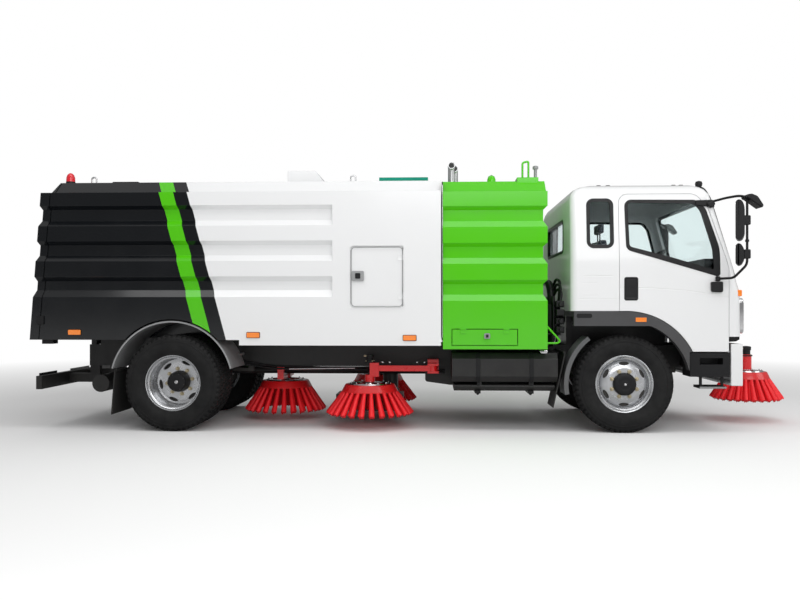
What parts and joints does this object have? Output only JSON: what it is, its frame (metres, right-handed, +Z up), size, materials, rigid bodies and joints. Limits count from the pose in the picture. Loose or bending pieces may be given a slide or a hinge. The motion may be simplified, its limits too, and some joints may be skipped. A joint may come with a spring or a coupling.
{
  "type": "street sweeper truck",
  "caption": "Cab-over street sweeper truck with a ribbed tipping hopper, an engine compartment, a tilting cab and red rotary brushes ahead of and under the frame.",
  "frame": {"origin": "on the ground, midway along and across the vehicle", "axes": "+X forward, +Y to the vehicle's left, +Z up"},
  "size_m": [8.235, 3.04, 2.908],
  "materials": {
    "black_paint": "satin",
    "chassis_paint": "satin",
    "white_paint": "gloss",
    "green_paint": "gloss",
    "red_paint": "gloss",
    "hopper_paint": "black, green stripe and white, gloss",
    "cast_axle": "painted",
    "spring_steel": "dark",
    "bright_steel": "polished",
    "wheel_silver": "silver",
    "tyre_rubber": "matte",
    "flap_rubber": "matte",
    "dark_plastic": "matte",
    "grey_guard": "satin",
    "cab_trim": "matte",
    "seat_cloth": "woven",
    "clear_glass": "clear",
    "red_bristle": "bristle",
    "teal_paint": "satin"
  },
  "bodies": {
    "chassis": {"frame_rails": "chassis_paint", "front_axle": "cast_axle", "rear_axle": "cast_axle", "leaf_springs": "spring_steel", "propshaft": "chassis_paint", "main_engine": "cast_axle", "sweeper_engine": "cast_axle", "fuel_tank": "black_paint", "battery_box": "chassis_paint", "air_tanks": "chassis_paint", "front_bumper": "white_paint", "step_panels": "chassis_paint", "underrun_bar": "chassis_paint", "mudguards": "grey_guard", "mudflaps": "flap_rubber", "engine_compartment": "green_paint", "exhaust_stacks": "bright_steel", "suction_nozzle": "chassis_paint", "brush_brackets": "red_paint"},
    "cab": {"cab_shell": "white_paint", "cab_glass": "clear_glass", "dashboard": "dark_plastic", "steering_wheel": "dark_plastic", "seats": "seat_cloth", "arch_trims": "cab_trim"},
    "door_right": {"door_right": "white_paint", "door_glass_right": "clear_glass", "mirror_right": "dark_plastic"},
    "knuckle_right": {"knuckle_right": "cast_axle"},
    "wheel_front_right": {"tyre_front_right": "tyre_rubber", "rim_front_right": "wheel_silver"},
    "wheels_rear_right": {"tyres_rear_right": "tyre_rubber", "rims_rear_right": "wheel_silver"},
    "side_arm_right": {"side_brush_arm_right": "red_paint"},
    "side_head_right": {"side_brush_head_right": "red_paint"},
    "side_brush_right": {"side_brush_right": "red_bristle"},
    "door_left": {"door_left": "white_paint", "door_glass_left": "clear_glass", "mirror_left": "dark_plastic"},
    "knuckle_left": {"knuckle_left": "cast_axle"},
    "wheel_front_left": {"tyre_front_left": "tyre_rubber", "rim_front_left": "wheel_silver"},
    "wheels_rear_left": {"tyres_rear_left": "tyre_rubber", "rims_rear_left": "wheel_silver"},
    "side_arm_left": {"side_brush_arm_left": "red_paint"},
    "side_head_left": {"side_brush_head_left": "red_paint"},
    "side_brush_left": {"side_brush_left": "red_bristle"},
    "tie_rod": {"tie_rod": "chassis_paint"},
    "hopper": {"hopper_shell": "hopper_paint", "hopper_roof_fittings": "teal_paint"},
    "tailgate": {"tailgate": "hopper_paint"},
    "service_door": {"service_door": "hopper_paint"},
    "compartment_flap": {"compartment_flap": "green_paint"},
    "hoist_barrels": {"hoist_barrels": "chassis_paint"},
    "hoist_rods": {"hoist_rods": "bright_steel"},
    "front_head": {"front_brush_head": "red_paint"},
    "front_brush": {"front_brush": "red_bristle"},
    "centre_head": {"centre_brush_head": "red_paint"},
    "centre_brush": {"centre_brush": "red_bristle"}
  },
  "joints": [
    {"name": "cab_tilt", "type": "hinge", "parent": "chassis", "child": "cab", "pos_m": [3.2, 0, 0.96], "axis": [0, 1, 0], "range_deg": [0, 45]},
    {"name": "door_right_hinge", "type": "hinge", "parent": "cab", "child": "door_right", "pos_m": [3.1207, -1.13, 1.5], "axis": [0, 0, 1], "range_deg": [0, 70]},
    {"name": "door_left_hinge", "type": "hinge", "parent": "cab", "child": "door_left", "pos_m": [3.1207, 1.13, 1.5], "axis": [0, 0, -1], "range_deg": [0, 70]},
    {"name": "steer_right", "type": "hinge", "parent": "chassis", "child": "knuckle_right", "pos_m": [2.085, -0.83, 0.506], "axis": [0, 0, 1], "range_deg": [-32, 32]},
    {"name": "steer_left", "type": "hinge", "parent": "chassis", "child": "knuckle_left", "pos_m": [2.085, 0.83, 0.506], "axis": [0, 0, 1], "range_deg": [-32, 32]},
    {"name": "tie_rod_slide", "type": "slide", "parent": "chassis", "child": "tie_rod", "axis": [0, -1, 0], "range_m": [-0.102, 0.102]},
    {"name": "wheel_front_right_spin", "type": "hinge", "parent": "knuckle_right", "child": "wheel_front_right", "pos_m": [2.085, -0.95, 0.506], "axis": [0, 1, 0], "continuous": true},
    {"name": "wheels_rear_right_spin", "type": "hinge", "parent": "chassis", "child": "wheels_rear_right", "pos_m": [-2.615, -0.875, 0.506], "axis": [0, 1, 0], "continuous": true},
    {"name": "wheel_front_left_spin", "type": "hinge", "parent": "knuckle_left", "child": "wheel_front_left", "pos_m": [2.085, 0.95, 0.506], "axis": [0, 1, 0], "continuous": true},
    {"name": "wheels_rear_left_spin", "type": "hinge", "parent": "chassis", "child": "wheels_rear_left", "pos_m": [-2.615, 0.875, 0.506], "axis": [0, 1, 0], "continuous": true},
    {"name": "hopper_tip", "type": "hinge", "parent": "chassis", "child": "hopper", "pos_m": [-3.75, 0, 0.925], "axis": [0, -1, 0], "range_deg": [0, 45]},
    {"name": "tailgate_hinge", "type": "hinge", "parent": "hopper", "child": "tailgate", "pos_m": [-3.889, 0, 2.652], "axis": [0, 1, 0], "range_deg": [0, 80]},
    {"name": "service_door_hinge", "type": "hinge", "parent": "hopper", "child": "service_door", "pos_m": [-0.203, -1.1973, 1.613], "axis": [0, 0, 1], "range_deg": [0, 110]},
    {"name": "compartment_flap_hinge", "type": "hinge", "parent": "chassis", "child": "compartment_flap", "pos_m": [0.64, -1.1973, 1.076], "axis": [-1, 0, 0], "range_deg": [0, 90]},
    {"name": "hoist_barrel_swing", "type": "hinge", "parent": "chassis", "child": "hoist_barrels", "pos_m": [-2.1, 0, 0.69], "axis": [0, -1, 0], "range_deg": [0, 69.03]},
    {"name": "hoist_rod_slide", "type": "slide", "parent": "hoist_barrels", "child": "hoist_rods", "axis": [0.9912, 0, 0.1322], "range_m": [0, 0.9996]},
    {"name": "front_brush_lift", "type": "slide", "parent": "chassis", "child": "front_head", "axis": [0, 0, 1], "range_m": [-0.24, 0]},
    {"name": "front_brush_spin", "type": "hinge", "parent": "front_head", "child": "front_brush", "pos_m": [3.712, 0, 0.6], "axis": [0, 0, 1], "continuous": true},
    {"name": "side_arm_right_swing", "type": "hinge", "parent": "chassis", "child": "side_arm_right", "pos_m": [0.11, -0.72, 0.64], "axis": [0, 0, 1], "range_deg": [0, 25]},
    {"name": "side_brush_right_lift", "type": "slide", "parent": "side_arm_right", "child": "side_head_right", "axis": [0, 0, 1], "range_m": [-0.14, 0]},
    {"name": "side_brush_right_spin", "type": "hinge", "parent": "side_head_right", "child": "side_brush_right", "pos_m": [-0.576, -0.72, 0.48], "axis": [0, 0, 1], "continuous": true},
    {"name": "side_arm_left_swing", "type": "hinge", "parent": "chassis", "child": "side_arm_left", "pos_m": [0.11, 0.72, 0.64], "axis": [0, 0, -1], "range_deg": [0, 25]},
    {"name": "side_brush_left_lift", "type": "slide", "parent": "side_arm_left", "child": "side_head_left", "axis": [0, 0, 1], "range_m": [-0.14, 0]},
    {"name": "side_brush_left_spin", "type": "hinge", "parent": "side_head_left", "child": "side_brush_left", "pos_m": [-0.576, 0.72, 0.48], "axis": [0, 0, 1], "continuous": true},
    {"name": "centre_brush_lift", "type": "slide", "parent": "chassis", "child": "centre_head", "axis": [0, 0, 1], "range_m": [-0.095, 0]},
    {"name": "centre_brush_spin", "type": "hinge", "parent": "centre_head", "child": "centre_brush", "pos_m": [-1.627, 0, 0.46], "axis": [0, 0, 1], "continuous": true}
  ],
  "couplings": [
    {"joint": "steer_left", "follows": "steer_right", "ratio": 1},
    {"joint": "tie_rod_slide", "follows": "steer_right", "m_per_rad": 0.18},
    {"joint": "hoist_barrel_swing", "follows": "hopper_tip", "ratio": 1.5229},
    {"joint": "hoist_rod_slide", "follows": "hopper_tip", "m_per_rad": 1.2702}
  ]
}
